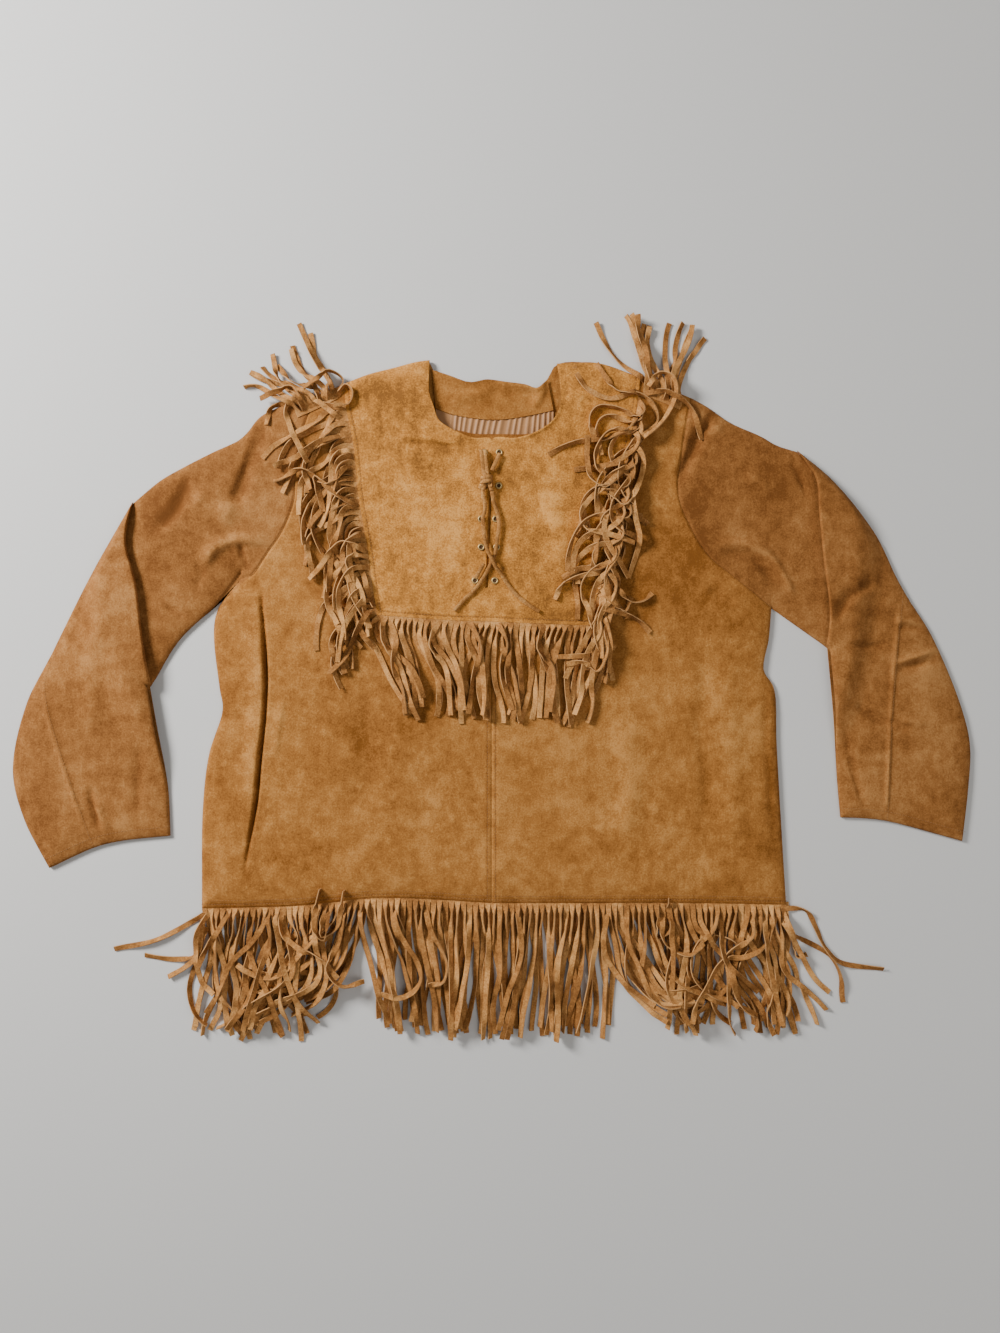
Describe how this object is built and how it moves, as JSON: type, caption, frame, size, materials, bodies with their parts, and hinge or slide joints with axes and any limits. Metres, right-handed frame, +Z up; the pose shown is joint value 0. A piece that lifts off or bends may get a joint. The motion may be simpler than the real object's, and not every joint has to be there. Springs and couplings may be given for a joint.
{
  "type": "fringed leather shirt",
  "caption": "Suede pullover shirt laid flat, front up, with a laced yoke bib, long sleeves and cut fringe at bib, shoulders and hem.",
  "frame": {"origin": "on the floor, under the middle of the laid-out shirt with its fringe", "axes": "+X to the right as seen from above, +Y from hem to neck, +Z up off the floor"},
  "size_m": [1.0958, 0.836, 0.022],
  "materials": {
    "suede": "matte brushed suede, mid tan",
    "bib_suede": "matte brushed suede, golden tan",
    "fringe": "matte suede strips with paler cut edges",
    "lining": "taupe satin with a soft sheen",
    "eyelet": "pale polished brass",
    "lace": "smooth leather thong"
  },
  "bodies": {
    "root": {"back": "suede", "back_neck_facing": "suede", "bib": "bib_suede", "bib_fringe_bottom": "fringe", "bib_fringe_left": "fringe", "bib_fringe_right": "fringe", "eyelet_left_1": "eyelet", "eyelet_left_2": "eyelet", "eyelet_left_3": "eyelet", "eyelet_left_4": "eyelet", "eyelet_left_5": "eyelet", "eyelet_right_1": "eyelet", "eyelet_right_2": "eyelet", "eyelet_right_3": "eyelet", "eyelet_right_4": "eyelet", "eyelet_right_5": "eyelet", "front_left": "suede", "front_neck_facing": "bib_suede", "front_right": "suede", "hem_fringe_back": "fringe", "hem_fringe_front": "fringe", "lace_crossing_low": "lace", "lace_crossing_top": "lace", "lace_end_left": "lace", "lace_end_right": "lace", "lace_knot": "lace", "lace_stub_left": "lace", "lace_stub_right": "lace", "lining": "lining", "shoulder_fringe_left": "fringe", "shoulder_fringe_right": "fringe", "sleeve_left_top": "suede", "sleeve_left_under": "suede", "sleeve_right_top": "suede", "sleeve_right_under": "suede"}
  },
  "joints": []
}
